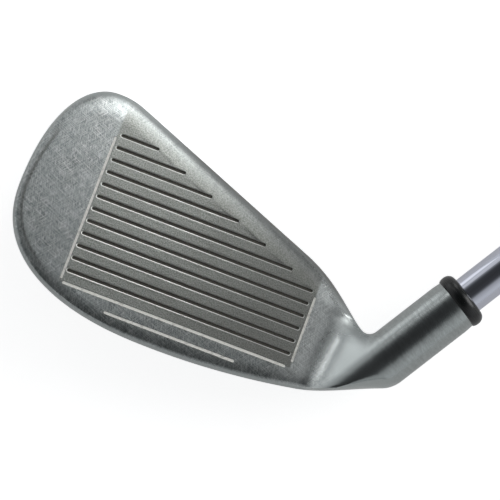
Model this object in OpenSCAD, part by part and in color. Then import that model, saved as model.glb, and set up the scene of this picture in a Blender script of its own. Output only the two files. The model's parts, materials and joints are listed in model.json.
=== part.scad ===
// Right-handed long iron with a perimeter-weighted head, a stepped steel shaft and a rubber grip.
// The club lies on its back on the floor, face up, as it would on a bench.

/* [Club] */
// Length along the shaft, from the ground line to the butt end
club_len = 990; // [880:5:1060]
// Angle between the shaft and the ground at address
lie_angle = 58.5; // [56:0.5:62]
// Angle by which the face leans back
loft_angle = 20.5; // [17:0.5:26]

/* [Blade outline] */
// Reach of the toe from the point where the shaft's axis meets the ground
toe_reach = 88.9; // [84:0.1:96]
// Height of the toe's outermost point
belly_h = 28; // [26:0.5:31]
// Height of the toe's peak
toe_h = 56.4; // [53:0.1:59]
// Distance of the toe's peak in from its outermost point
peak_in = 15.4; // [14:0.1:19]
// Fullness of the toe's upper quarter, 2 for an ellipse
toe_top_power = 2.25; // [1.9:0.05:2.5]
// Fullness of the toe's lower quarter, 2 for an ellipse
toe_sole_power = 2.4; // [2:0.05:2.7]
// Downward slope of the topline towards the heel
topline_slope = 21.3; // [19.5:0.1:22.5]
// Length of the crest that turns the toe's peak into the topline
crest_len = 7; // [4:0.5:10]
// Distance from the shaft's ground point to where the sole touches the ground
sole_touch = 43.4; // [38:0.2:48]
// Rise of the sole where the heel begins
heel_start_rise = 3.4; // [2.4:0.1:4.4]
// Distance from the shaft's ground point to where the heel begins
heel_start = 6.8; // [5:0.2:9]

/* [Blade depth] */
// Distance of the leading edge behind the front of the hosel
offset_depth = 1.2; // [0.6:0.1:5]
// Thickness of the blade at the topline, square to the face
topline_t = 6.4; // [5.5:0.1:8]
// Width of the sole at its middle
sole_w = 19.5; // [17:0.1:22]
// Width of the rounding between face and topline
round_top = 6.2; // [3:0.1:7]
// Width of the rounding between face and toe
round_toe = 3.2; // [1.8:0.1:4]
// Width of the rounding between face and leading edge
round_lead = 4.2; // [1.8:0.1:4.6]
// Angle through which the face rolls gently before it turns into the topline
roll_top = 17; // [4:1:24]
// Angle through which the face rolls gently before it turns into the toe
roll_toe = 8; // [4:1:20]
// Rounding of the back's edge along the topline and toe
round_back = 2.2; // [1.2:0.1:3]
// Rounding of the sole's trailing edge
round_trail = 4; // [2.5:0.1:6]

/* [Hosel] */
// Outside diameter of the hosel
hosel_d = 13.4; // [12.8:0.1:14.4]
// Height of the hosel's top along the shaft's axis
hosel_top = 43; // [40:0.5:60]
// Length of the neck-down under the hosel's top
neck_down_len = 2; // [1:0.1:4]
// Narrowing of the diameter at the hosel's top
neck_down = 0.3; // [0.1:0.05:0.6]
// Height of the lowest point between topline and hosel
crotch_h = 22.3; // [20:0.1:24]
// Radius of the crotch between topline and hosel
crotch_r = 2.7; // [2:0.1:4]
// Radius of the heel's corner under the hosel
heel_r = 8; // [6:0.5:10]
// Slope of the heel's underside
heel_slope = 20.5; // [17:0.5:24]
// Height along the axis at which the heel's corner meets the hosel
heel_seat = 20.8; // [20:0.1:24]
// Share of the hosel's radius at which its barrel turns into the neck's flank
flank_turn = 0.68; // [0.5:0.01:0.9]
// Width of the fillet between the neck's flank and the face
neck_fillet = 3; // [1:0.1:6]
// Rounding of the heel's underside in front of the hosel
heel_round = 3.6; // [2:0.1:6]
// Rounding of the heel's underside where the leading edge runs into it
heel_foot_round = 1; // [0.6:0.1:2]
// Rounding of the neck's front along the crotch
crotch_round = 1.2; // [1:0.1:3]
// Depth of the blind bore for the shaft
bore_depth = 25; // [20:0.5:26]
// Thickness of the adhesive round the shaft
epoxy_t = 0.15; // [0.1:0.01:0.25]

/* [Cavity] */
// Thickness of the face plate
face_t = 3.2; // [2.5:0.1:4]
// Width of the rim under the topline
rim_top = 6; // [5:0.1:8]
// Width of the rim at the toe
rim_toe = 8; // [6.5:0.1:11]
// Height of the weight bar over the sole
bar_h = 11; // [9:0.5:14]
// Distance of the cavity's heel end from the shaft's ground point
cavity_heel = 15; // [13:0.5:22]
// Corner radius of the cavity at the toe
cavity_toe_r = 13; // [9:0.5:14]
// Corner radius of the cavity at the heel
cavity_heel_r = 5; // [4:0.5:6]
// Draft of the cavity's walls
cavity_draft = 8; // [4:0.5:12]
// Fillet round the cavity's floor
cavity_fillet = 1.6; // [1:0.1:2]
// Rounding of the cavity's lip
lip_r = 0.8; // [0.4:0.1:1.2]

/* [Scorelines] */
// Number of scorelines above the short one
line_count = 13; // [9:1:13]
// Height of the lowest, short scoreline up the face
first_line = 4.9; // [4.6:0.1:5.4]
// Spacing of the scorelines up the face
line_pitch = 3.46; // [3.3:0.01:3.5]
// Width of a scoreline
line_w = 0.8; // [0.6:0.05:1]
// Depth of a scoreline
line_depth = 0.45; // [0.3:0.05:0.6]
// Distance of the scorelines' toe ends from the shaft's ground point
lines_toe = 69.5; // [66:0.1:71]
// Distance of the scorelines' heel ends from the shaft's ground point
lines_heel = 11.3; // [11:0.1:16]
// Shortening of the lowest scoreline at each end
short_by = 12.1; // [8:0.1:16]
// Clearance of the upper scorelines' heel ends below the topline, along the topline
lines_clear = 14.2; // [12:0.1:18]
// Lean of the toe's frame line towards the scorelines at its foot
frame_lean = 0.5; // [0:0.1:0.6]
// Width of the upright frame lines
frame_w = 0.65; // [0.4:0.05:0.8]
// Gap between the scorelines' ends and the frame lines
frame_gap = 1.1; // [0.9:0.05:1.5]
// Recess of the paint below the face
paint_recess = 0.12; // [0.05:0.01:0.2]

/* [Ferrule] */
// Largest diameter of the ferrule
ferrule_d = 14.2; // [13.6:0.1:15]
// Length of the ferrule
ferrule_len = 3.6; // [3:0.1:8]
// Thickness of the ferrule's upper lip round the shaft
ferrule_lip = 0.6; // [0.4:0.05:1]
// Bore clearance of the ferrule round the shaft, on the diameter
ferrule_play = 0.06; // [0.02:0.02:0.2]

/* [Shaft] */
// Outside diameter at the tip
tip_d = 9.4; // [9:0.05:9.6]
// Outside diameter at the butt
butt_d = 15.24; // [14.5:0.02:15.6]
// Wall of the shaft at the tip
tip_wall = 0.62; // [0.5:0.02:0.9]
// Wall of the shaft at the butt
butt_wall = 0.36; // [0.3:0.02:0.6]
// Number of steps
step_count = 13; // [9:1:14]
// Distance between steps
step_pitch = 44.45; // [38:0.05:45]
// Length of each step's taper
step_taper = 1.6; // [0.8:0.1:3]
// Distance of the last step from the grip's mouth
step_clear = 14; // [6:1:40]
// Thickness of the swing weight's flange
weight_flange = 1.5; // [1:0.1:3]
// Length of the swing weight's pin
weight_len = 28; // [15:1:40]
// Play of the swing weight's pin in the shaft, on the diameter
weight_play = 0.1; // [0.05:0.01:0.2]

/* [Grip] */
// Length of the grip with its cap
grip_len = 267; // [250:1:280]
// Thickness of the grip tape
tape_t = 0.2; // [0.1:0.02:0.3]
// Outside diameter of the grip at its mouth
mouth_d = 18; // [17.4:0.1:19]
// Outside diameter of the grip 152 mm from the butt end
lower_hand_d = 20.2; // [19.4:0.1:22]
// Outside diameter of the grip 50 mm from the butt end
upper_hand_d = 23.4; // [22:0.1:25]
// Outside diameter of the cap
cap_d = 27; // [25:0.1:29]
// Thickness of the cap
cap_t = 4.5; // [3.5:0.1:6]
// Rounding of the cap's outer edge
cap_round = 1.4; // [0.6:0.1:2]
// Diameter of the vent hole
vent_d = 4; // [3:0.1:6]
// Depth of the ring grooves on the grip
ring_depth = 0.5; // [0.3:0.05:0.8]
// Distance between the ring grooves on the grip
ring_pitch = 12; // [9:0.5:18]

/* [Hidden] */
$fn = 96;

// Address frame: the shaft's axis meets the ground at the origin, the toe is at -X, the face looks to -Y
hosel_r = hosel_d / 2;
axis_dir = [cos(lie_angle), sin(lie_angle)];
side_dir = [sin(lie_angle), -cos(lie_angle)];
face_run = tan(loft_angle);
face_foot = offset_depth - hosel_r;
function face_y(z) = face_foot + face_run * z;

peak_x = peak_in - toe_reach;
fall = tan(topline_slope);
function topline_z(x) = toe_h + fall * (crest_len / 2 - (x - peak_x));
topline_y = topline_t / cos(loft_angle);
wedge = (sole_w - topline_y) / topline_z(-sole_touch);
function back_y(x, z) = face_y(z) + topline_y + wedge * (topline_z(x) - z);

// Curve helpers
function mix(a, b, t) = a + (b - a) * t;
function ease(t) = let (c = min(1, max(0, t))) c * c * c * (c * (6 * c - 15) + 10);
function bezier(p, t) = let (s = 1 - t)
    s * s * s * p[0] + 3 * s * s * t * p[1] + 3 * s * t * t * p[2] + t * t * t * p[3];
function turned(list) = [for (i = [len(list) - 1:-1:0]) list[i]];
function slope_dir(angle) = [cos(angle), sin(angle)];
function on_axis(along, aside) = along * axis_dir + aside * side_dir;

// Upper outline from the toe's belly over the topline and the crotch to the hosel's top
toe_top_steps = 24;
crest_steps = 5;
topline_steps = 6;
fall_steps = 27;
fall_on_blade = 9;
crotch_steps = 8;
hosel_steps = 4;
topline_end = -15.4;
topline_lead = 12;
crotch_lead = 2.8;
crotch_turn = [crotch_r * sin(lie_angle), crotch_r * (1 - cos(lie_angle))];
crotch_x = (crotch_h * cos(lie_angle) - hosel_r
    - crotch_turn * [sin(lie_angle), -cos(lie_angle)]) / sin(lie_angle);
toe_upper = [for (i = [0:toe_top_steps]) let (a = 90 * i / toe_top_steps)
    [peak_x - peak_in * pow(cos(a), 2 / toe_top_power),
     belly_h + (toe_h - belly_h) * pow(sin(a), 2 / toe_top_power)]];
crest = [for (i = [1:crest_steps]) let (d = crest_len * i / crest_steps)
    [peak_x + d, toe_h - fall * d * d / (2 * crest_len)]];
topline = [for (i = [1:topline_steps])
    let (x = mix(peak_x + crest_len, topline_end, i / topline_steps)) [x, topline_z(x)]];
crotch = [crotch_x, crotch_h];
topline_fall = [
    [topline_end, topline_z(topline_end)],
    [topline_end, topline_z(topline_end)] + topline_lead * slope_dir(-topline_slope),
    crotch - [crotch_lead, 0],
    crotch
];
fall_curve = [for (i = [1:fall_steps]) bezier(topline_fall, i / fall_steps)];
crotch_arc = [for (i = [1:crotch_steps]) let (a = lie_angle * i / crotch_steps)
    crotch + crotch_r * [sin(a), 1 - cos(a)]];

// Lower outline from the toe's belly along the sole and the heel to the hosel's top
toe_low_steps = 36;
sole_steps = 12;
heel_steps = 15;
corner_steps = fall_steps - fall_on_blade + crotch_steps - heel_steps;
heel_lead = 6;
heel_centre = on_axis(heel_seat, hosel_r - heel_r);
sole_curl = heel_start_rise / pow(sole_touch - heel_start, 2);
toe_lower = [for (i = [1:toe_low_steps]) let (a = 90 * i / toe_low_steps)
    [-sole_touch - (toe_reach - sole_touch) * pow(cos(a), 2 / toe_sole_power),
     belly_h - belly_h * pow(sin(a), 2 / toe_sole_power)]];
sole = [for (i = [1:sole_steps]) let (x = mix(-sole_touch, -heel_start, i / sole_steps))
    [x, sole_curl * pow(x + sole_touch, 2)]];
heel_slope_start = atan(2 * heel_start_rise / (sole_touch - heel_start));
corner_start = heel_centre + heel_r * slope_dir(heel_slope - 90);
heel_rise = [
    [-heel_start, heel_start_rise],
    [-heel_start, heel_start_rise] + heel_lead * slope_dir(heel_slope_start),
    corner_start - heel_lead * slope_dir(heel_slope),
    corner_start
];
heel_curve = [for (i = [1:heel_steps]) bezier(heel_rise, i / heel_steps)];
corner_arc = [for (i = [1:corner_steps])
    heel_centre + heel_r * slope_dir(mix(heel_slope, lie_angle, i / corner_steps) - 90)];

// Both straight edges of the hosel, with the neck-down under the ferrule
hosel_lead = 1.5;
hosel_start = (crotch + crotch_turn) * axis_dir + hosel_lead;
hosel_levels = [hosel_start, mix(hosel_start, hosel_top, 0.5), hosel_top - neck_down_len, hosel_top];
hosel_radii = [hosel_r, hosel_r, hosel_r, hosel_r - neck_down / 2];
hosel_upper = [for (i = [0:hosel_steps - 1]) on_axis(hosel_levels[i], -hosel_radii[i])];
hosel_lower = [for (i = [0:hosel_steps - 1]) on_axis(hosel_levels[i], hosel_radii[i])];

// The whole outline, from the hosel's heel side round the toe to its crotch side
upper = concat(toe_upper, crest, topline, fall_curve, crotch_arc, hosel_upper);
lower = concat(toe_lower, sole, heel_curve, corner_arc, hosel_lower);
outline = concat(turned(lower), upper);
neck_steps = heel_steps + corner_steps + hosel_steps;
blade_from = neck_steps;
blade_to = len(outline) - 1 - neck_steps;
function unit(v) = v / norm(v);
function inward(i) = let (
    p = outline[i],
    before = i > 0 ? unit(p - outline[i - 1]) : axis_dir * -1,
    after = i < len(outline) - 1 ? unit(outline[i + 1] - p) : axis_dir,
    along = unit(before + after)
) [along[1], -along[0]];

// Edge profile of the blade at one place of the outline, from the face over the wall to the back.
// The face's edge rolls off gently first, at the leading edge until it stands upright, and then turns
edge_steps = 10;
roll_steps = 4;
edge_gather = 1.35;
profile_len = 2 * edge_steps + 1;
wall_lead = 0.45;
edge_lead = 0.3;
turn_share = 0.42;
function face_round(up) = up > 0 ? mix(round_toe, round_lead, up) : mix(round_toe, round_top, -up);
function face_roll(up) = up > 0 ? mix(roll_toe, loft_angle, up) : mix(roll_toe, roll_top, -up);
function back_round(up) = mix(round_back, round_trail, max(0, up));
function front_edge(r, roll, half) = let (
    turn_w = r * turn_share,
    roll_r = (r - turn_w) / sin(roll),
    from = [turn_w, roll_r * (1 - cos(roll))],
    lead = turn_w * (1 - edge_lead) * [-1, tan(roll)]
) concat(
    [for (j = [0:roll_steps - 1]) let (a = roll * j / roll_steps)
        [r - roll_r * sin(a), roll_r * (1 - cos(a))]],
    [for (j = [roll_steps:edge_steps]) bezier([from, from + lead, [0, half * wall_lead], [0, half]],
        pow((j - roll_steps) / (edge_steps - roll_steps), edge_gather))]
);
function edge_profile(i) = let (
    p = outline[i],
    n = inward(i),
    half = (back_y(p[0], p[1]) - face_y(p[1])) / 2,
    rb = back_round(n[1])
) concat(
    [for (q = front_edge(face_round(n[1]), face_roll(n[1]), half)) let (e = p + n * q[0])
        [e[0], face_y(e[1]) + q[1], e[1]]],
    [for (j = [edge_steps - 1:-1:0]) let (
        q = bezier([[rb, 0], [rb * edge_lead, 0], [0, half * wall_lead], [0, half]],
            pow(j / edge_steps, edge_gather)),
        e = p + n * q[0]
    ) [e[0], back_y(e[0], e[1]) - q[1], e[1]]]
);

// Sections of the neck, which turn from the blade's wedge into the hosel's circle
span_steps = 8;
loop_len = 2 * (profile_len + span_steps);
function between(a, b) = [for (i = [1:span_steps]) mix(a, b, i / (span_steps + 1))];
function blade_loop(k) = let (
    low = edge_profile(blade_from - k),
    high = edge_profile(blade_to + k)
) concat(
    turned(low),
    between(low[0], high[0]),
    high,
    between(high[profile_len - 1], low[profile_len - 1])
);
function hosel_loop(k) = let (
    b = outline[blade_from - k],
    t = outline[blade_to + k],
    c = (b + t) / 2
) [for (j = [0:loop_len - 1]) let (
    a = 360 * (j - edge_steps) / loop_len,
    e = c + (b - t) / 2 * cos(a),
    depth = mix(hosel_r, norm(t - b) / 2, ease((k - neck_steps + hosel_steps) / hosel_steps))
) [e[0], -depth * sin(a), e[1]]];
neck_path = [for (k = [0:neck_steps - hosel_steps]) (outline[blade_from - k] + outline[blade_to + k]) / 2];
function path_len(k) = k > 0 ? norm(neck_path[k] - neck_path[k - 1]) + path_len(k - 1) : 0;
neck_len = path_len(neck_steps - hosel_steps);
function neck_share(k) = k < neck_steps - hosel_steps ? ease(path_len(k) / neck_len) : 1;
function plain_loop(k) = mix(blade_loop(k), hosel_loop(k), neck_share(k));

// Front of the neck: the hosel's barrel runs on down to the heel and meets the face in a fillet
barrel_in = 4;
crown_in = 14;
flank_top = 17;
fillet_hold = 4;
underside_from = 3;
full_turn = 0.995;
crotch_blend = 5;
least_fillet = 0.01;
least_round = 0.3;
// Lesser of two depths, with the step between them filleted over the width w
function blend_min(a, b, w) = let (h = max(0, w - abs(a - b)) / w) min(a, b) - h * h * w / 4;
// Depth of the barrel's front at a distance aside of the axis, then straight on down the flank
function barrel(d, turn) = let (edge = -hosel_r * turn)
    d > edge ? -sqrt(max(0, hosel_r * hosel_r - d * d))
    : -hosel_r * sqrt(1 - turn * turn) + (edge - d) * turn / sqrt(1 - turn * turn);
function round_off(t) = t < 1 ? 1 - sqrt(1 - (1 - t) * (1 - t)) : 0;
function neck_front(e, k) = let (
    up = e * axis_dir,
    turn = mix(flank_turn, full_turn, ease((up - flank_top) / (hosel_start - flank_top))),
    width = mix(neck_fillet, least_fillet, pow(neck_share(k), fillet_hold))
) blend_min(face_y(e[1]), barrel(e * side_dir, turn), width);
// Pull of the front towards an edge of the section, which rounds it over
function edge_pull(e, edge, y, k, r) = let (
    p = [edge[0], edge[2]],
    reach = min(r, max(least_round, 0.9 * (edge[1] - neck_front(p, k))))
) (edge[1] - y) * round_off(norm(e - p) / reach);
function underside_round(edge) = let (up = [edge[0], edge[2]] * axis_dir)
    mix(heel_foot_round, heel_round, ease((up - underside_from) / (flank_top - underside_from)));
function crown_round(k) = mix(round_top, crotch_round, ease(k / crown_in));
function neck_loop(k) = let (
    loop = plain_loop(k),
    share = k < neck_steps - hosel_steps ? ease(k / barrel_in) : 0,
    low = edge_steps,
    high = low + loop_len / 2
) [for (j = [0:loop_len - 1]) let (
    p = loop[j],
    e = [p[0], p[2]],
    y = blend_min(neck_front(e, k), loop[high][1], crotch_blend)
) j <= low || j >= high ? p
    : let (
        foot = edge_pull(e, loop[low], y, k, underside_round(loop[low])),
        crown = edge_pull(e, loop[high], y, k, crown_round(k))
    ) [p[0], mix(p[1], y + foot + crown, share), p[2]]];

// The head's skin: blade rings, then neck loops, closed by the flat face, the flat back and the hosel's end
blade_rings = [for (i = [blade_from:blade_to]) edge_profile(i)];
ring_count = len(blade_rings);
hub = [-sole_touch, belly_h / 2];
first_loop = neck_loop(0);
face_span = [for (j = [0:span_steps - 1]) first_loop[profile_len + j]];
back_span = [for (j = [0:span_steps - 1]) first_loop[2 * profile_len + span_steps + j]];
head_points = concat(
    [for (r = blade_rings) each r],
    face_span,
    back_span,
    [for (k = [1:neck_steps]) each neck_loop(k)],
    [[hub[0], face_y(hub[1]), hub[1]], [hub[0], back_y(hub[0], hub[1]), hub[1]]]
);
span_base = ring_count * profile_len;
loop_base = span_base + 2 * span_steps;
function ring_at(r, j) = r * profile_len + j;
function loop_at(k, index) = let (j = index % loop_len)
    k > 0 ? loop_base + (k - 1) * loop_len + j
    : j < profile_len ? ring_at(0, profile_len - 1 - j)
    : j < profile_len + span_steps ? span_base + j - profile_len
    : j < 2 * profile_len + span_steps ? ring_at(ring_count - 1, j - profile_len - span_steps)
    : span_base + j - 2 * profile_len;
face_hub = loop_base + neck_steps * loop_len;
face_edge = concat(
    [for (r = [0:ring_count - 1]) ring_at(r, 0)],
    [for (j = [span_steps - 1:-1:0]) loop_at(0, profile_len + j)]
);
back_edge = concat(
    [for (r = [ring_count - 1:-1:0]) ring_at(r, profile_len - 1)],
    [for (j = [span_steps - 1:-1:0]) loop_at(0, 2 * profile_len + span_steps + j)]
);
function fan(at, edge) = [for (i = [0:len(edge) - 1]) [at, edge[i], edge[(i + 1) % len(edge)]]];
head_faces = concat(
    [for (r = [0:ring_count - 2]) for (j = [0:profile_len - 2]) each [
        [ring_at(r, j), ring_at(r + 1, j + 1), ring_at(r + 1, j)],
        [ring_at(r, j), ring_at(r, j + 1), ring_at(r + 1, j + 1)]
    ]],
    [for (k = [0:neck_steps - 1]) for (j = [0:loop_len - 1]) each [
        [loop_at(k, j), loop_at(k, j + 1), loop_at(k + 1, j + 1)],
        [loop_at(k, j), loop_at(k + 1, j + 1), loop_at(k + 1, j)]
    ]],
    fan(face_hub, face_edge),
    fan(face_hub + 1, back_edge),
    [[for (j = [0:loop_len - 1]) loop_at(neck_steps, j)]]
);

// Cavity outline: four corners with their radii, drawn in by an inset
corner_points = 9;
function cavity_corners(inset) = let (
    toe_side = rim_toe + inset - toe_reach,
    heel_side = -cavity_heel - inset,
    drop = (rim_top + inset) / cos(topline_slope),
    floor_z = bar_h + inset
) [
    [toe_side, floor_z, cavity_toe_r - inset],
    [toe_side, topline_z(toe_side) - drop, cavity_toe_r - inset],
    [heel_side, topline_z(heel_side) - drop, cavity_heel_r - inset],
    [heel_side, floor_z, cavity_heel_r - inset]
];
function rounded(corners) = [for (i = [0:len(corners) - 1]) let (
    n = len(corners),
    c = [corners[i][0], corners[i][1]],
    p = corners[(i + n - 1) % n],
    q = corners[(i + 1) % n],
    u = unit([p[0], p[1]] - c),
    v = unit([q[0], q[1]] - c),
    half = acos(u * v) / 2,
    r = corners[i][2],
    centre = c + unit(u + v) * r / sin(half),
    arm = c + u * r / tan(half) - centre,
    sweep = 180 - 2 * half
) for (k = [0:corner_points - 1])
    centre + r * slope_dir(atan2(arm[1], arm[0]) - sweep * k / (corner_points - 1))];
fillet_steps = 4;
lip_shape = [[-1.3, 1], [-1, 0], [-0.3, -0.3], [0, -1]];
cavity_rings = concat(
    [for (s = lip_shape * lip_r)
        [for (p = rounded(cavity_corners(s[0]))) [p[0], back_y(p[0], p[1]) + s[1], p[1]]]],
    [for (i = [0:fillet_steps]) let (
        a = 90 * i / fillet_steps,
        deep = cavity_fillet * (1 - sin(a)),
        slant = tan(cavity_draft) * (sole_w / 2),
        inset = slant + cavity_fillet * (1 - cos(a))
    ) [for (p = rounded(cavity_corners(inset))) [p[0], face_y(p[1]) + face_t / cos(loft_angle) + deep, p[1]]]]
);
cavity_points = [for (r = cavity_rings) each r];
cavity_len = len(cavity_rings[0]);
cavity_faces = concat(
    [[for (j = [cavity_len - 1:-1:0]) j]],
    [for (r = [0:len(cavity_rings) - 2]) for (j = [0:cavity_len - 1]) let (
        a = r * cavity_len + j,
        b = r * cavity_len + (j + 1) % cavity_len
    ) each [[a, b + cavity_len, a + cavity_len], [a, b, b + cavity_len]]],
    [[for (j = [0:cavity_len - 1]) (len(cavity_rings) - 1) * cavity_len + j]]
);

// Heights along the shaft's axis
bore_d = tip_d + 2 * epoxy_t;
bore_end = hosel_top - bore_depth;
tip_end = bore_end + weight_flange;
butt_end = club_len - cap_t;
mouth = club_len - grip_len;
last_step = mouth - step_clear;
function step_height(i) = last_step - (step_count - i) * step_pitch;
function step_d(i) = mix(tip_d, butt_d, i / step_count);

// Resting place: rolled about the shaft until toe and heel touch, pitched until the butt touches
function laid_point(p) = [
    p[0] * axis_dir[0] + p[2] * axis_dir[1],
    p[2] * axis_dir[0] - p[0] * axis_dir[1],
    -p[1]
];
function rolled(p, a) = [p[0], p[1] * cos(a) - p[2] * sin(a), p[1] * sin(a) + p[2] * cos(a)];
function pitched(p, a) = [p[0] * cos(a) + p[2] * sin(a), p[1], p[2] * cos(a) - p[0] * sin(a)];
function lowest(points) = let (z = min([for (p = points) p[2]])) [for (p = points) if (p[2] == z) p][0];
toe_zone = 20;
function roll_once(points) = let (t = lowest(points))
    min([for (p = points) if (p[1] < t[1] - toe_zone) atan2(p[2] - t[2], t[1] - p[1])]);
laid_head = [for (p = head_points) laid_point(p)];
roll_1 = roll_once(laid_head);
roll_2 = roll_once([for (p = laid_head) rolled(p, roll_1)]);
rest_roll = roll_1 + roll_2;
rolled_head = [for (p = laid_head) rolled(p, rest_roll)];
head_low = lowest(rolled_head);
cap_low_x = club_len - cap_round;
rest_pitch = atan((head_low[2] + cap_d / 2) / (head_low[0] - cap_low_x));
butt_points = [for (a = [0:5:355]) each [
    [club_len, (cap_d / 2 - cap_round) * cos(a), (cap_d / 2 - cap_round) * sin(a)],
    [cap_low_x, cap_d / 2 * cos(a), cap_d / 2 * sin(a)]
]];
rest_points = [for (p = concat(rolled_head, butt_points)) pitched(p, rest_pitch)];
function middle(i) = let (v = [for (p = rest_points) p[i]]) (min(v) + max(v)) / 2;
rest_shift = -[middle(0), middle(1), lowest(rest_points)[2]];

module laid() {
    translate(rest_shift) rotate([rest_roll, rest_pitch, 0]) rotate([-90, 0, -lie_angle]) children();
}

module on_shaft() {
    laid() rotate([0, 90 - lie_angle, 0]) children();
}

module on_face() {
    laid() translate([0, face_foot, 0]) rotate([90 - loft_angle, 0, 0]) children();
}

// Scorelines: a slot with round ends, from one point of the face to another
function line_y(i) = first_line + i * line_pitch;
function line_heel(i) = min(-lines_heel,
    peak_x + (topline_z(peak_x) - line_y(i) * cos(loft_angle)) / fall - lines_clear);
lowest_line = [-lines_toe + short_by, -lines_heel - short_by];
frame_foot = line_y(1) + line_w;
frame_toe_x = -lines_toe - frame_gap;
frame_heel_x = -lines_heel + frame_gap;
frame_toe_top = line_y(line_count) - line_w;
full_lines = 7;
frame_heel_foot = line_y(1) + 2 * line_w;
frame_heel_top = line_y(full_lines) - 1.5 * line_w;
over_cut = 1;

module slot(from, to, w) {
    across = to - from;
    translate(from) rotate(atan2(across[1], across[0]))
        translate([w / 2, -w / 2]) square([norm(across) - w, w]);
    for (p = [from + unit(across) * w / 2, to - unit(across) * w / 2]) translate(p) circle(d = w, $fn = 24);
}

module painted_lines(shrink = 0) {
    slot([lowest_line[0], line_y(0)], [lowest_line[1], line_y(0)], line_w - shrink);
    slot([-lines_toe, line_y(1)], [-lines_heel, line_y(1)], line_w - shrink);
    slot([frame_toe_x + frame_lean, frame_foot], [frame_toe_x, frame_toe_top], frame_w - shrink);
    slot([frame_heel_x, frame_heel_foot], [frame_heel_x, frame_heel_top], frame_w - shrink);
}

module plain_lines() {
    for (i = [2:line_count]) slot([-lines_toe, line_y(i)], [line_heel(i), line_y(i)], line_w);
}

module club_head() {
    color("#9a9ca1") difference() {
        laid() polyhedron(head_points, head_faces);
        laid() polyhedron(cavity_points, cavity_faces);
        on_face() translate([0, 0, -line_depth]) linear_extrude(line_depth + over_cut) {
            painted_lines();
            plain_lines();
        }
        on_shaft() translate([0, 0, bore_end]) cylinder(d = bore_d, h = bore_depth + over_cut);
    }
}

paint_play = 0.02;
module scoreline_paint() {
    color("#ecebe6") on_face() translate([0, 0, -line_depth])
        linear_extrude(line_depth - paint_recess) painted_lines(paint_play);
}

module hosel_epoxy() {
    color("#b8a878") on_shaft() translate([0, 0, tip_end]) difference() {
        cylinder(d = bore_d, h = hosel_top - tip_end);
        translate([0, 0, -over_cut]) cylinder(d = tip_d, h = hosel_top - tip_end + 2 * over_cut);
    }
}

// Ferrule: a bead that swells from the hosel's top and rounds over to the shaft
module ferrule() {
    bore_r = (tip_d + ferrule_play) / 2;
    foot_r = hosel_r - neck_down / 2;
    bulge = ferrule_d / 2;
    swell = ferrule_len * 0.42;
    steps = 10;
    skirt = [for (i = [0:steps]) let (a = 90 * i / steps) [mix(foot_r, bulge, sin(a)), swell * (1 - cos(a))]];
    crown_r = bulge - bore_r - ferrule_lip;
    crown = [for (i = [1:steps]) let (a = 90 * i / steps)
        [bulge - crown_r * (1 - cos(a)), swell + (ferrule_len - swell) * sin(a)]];
    color("#17171a") on_shaft() translate([0, 0, hosel_top]) rotate_extrude()
        polygon(concat([[bore_r, 0]], skirt, crown, [[bore_r, ferrule_len]]));
}

module shaft() {
    outer = concat(
        [[tip_d / 2, tip_end]],
        [for (i = [1:step_count]) each [
            [step_d(i - 1) / 2, step_height(i) - step_taper],
            [step_d(i) / 2, step_height(i)]
        ]],
        [[butt_d / 2, butt_end]]
    );
    inner = turned([for (p = outer)
        [p[0] - mix(tip_wall, butt_wall, (p[1] - tip_end) / (butt_end - tip_end)), p[1]]]);
    color("#c9ccd6") on_shaft() rotate_extrude() polygon(concat(outer, inner));
}

module tip_weight() {
    pin_d = tip_d - 2 * tip_wall - weight_play;
    color("#8a7f5a") on_shaft() translate([0, 0, bore_end]) {
        cylinder(d = tip_d, h = weight_flange);
        cylinder(d = pin_d, h = weight_flange + weight_len);
    }
}

module grip_tape() {
    color("#e6dfc8") on_shaft() translate([0, 0, mouth]) difference() {
        cylinder(d = butt_d + 2 * tape_t, h = butt_end - mouth);
        translate([0, 0, -over_cut]) cylinder(d = butt_d, h = butt_end - mouth + 2 * over_cut);
    }
}

// Grip: a tapered sleeve with shallow ring grooves between the hands' ends
upper_hand = 50;
lower_hand = 152;
lip_len = 9;
function grip_r(z) = let (d = club_len - z)
    d < upper_hand ? mix(cap_d, upper_hand_d, ease(d / upper_hand)) / 2
    : d < lower_hand ? mix(upper_hand_d, lower_hand_d, (d - upper_hand) / (lower_hand - upper_hand)) / 2
    : mix(lower_hand_d, mouth_d, (d - lower_hand) / (grip_len - lower_hand)) / 2;

module grip() {
    bore_r = butt_d / 2 + tape_t;
    flare_steps = 8;
    groove_w = ring_depth * 2.4;
    first_ring = mouth + lip_len;
    last_ring = club_len - upper_hand;
    rings = [for (z = [first_ring:ring_pitch:last_ring]) each [
        [grip_r(z - groove_w / 2), z - groove_w / 2],
        [grip_r(z) - ring_depth, z - groove_w / 6],
        [grip_r(z) - ring_depth, z + groove_w / 6],
        [grip_r(z + groove_w / 2), z + groove_w / 2]
    ]];
    flare = [for (i = [0:flare_steps])
        let (z = mix(club_len - upper_hand + groove_w, butt_end, i / flare_steps)) [grip_r(z), z]];
    color("#1d1d1f") on_shaft() rotate_extrude()
        polygon(concat([[bore_r, mouth], [grip_r(mouth), mouth]], rings, flare, [[bore_r, butt_end]]));
}

module grip_cap() {
    steps = 6;
    edge = [for (i = [0:steps]) let (a = 90 * i / steps)
        [cap_d / 2 - cap_round * (1 - cos(a)), cap_t - cap_round * (1 - sin(a))]];
    color("#1a1a1c") on_shaft() translate([0, 0, butt_end]) difference() {
        rotate_extrude() polygon(concat([[0, 0], [cap_d / 2, 0]], edge, [[0, cap_t]]));
        translate([0, 0, -over_cut]) cylinder(d = vent_d, h = cap_t + 2 * over_cut);
    }
}

club_head();
scoreline_paint();
hosel_epoxy();
ferrule();
shaft();
tip_weight();
grip_tape();
grip();
grip_cap();
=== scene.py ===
import json
import math

import bmesh
import bpy
from mathutils import Matrix, Vector


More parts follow.
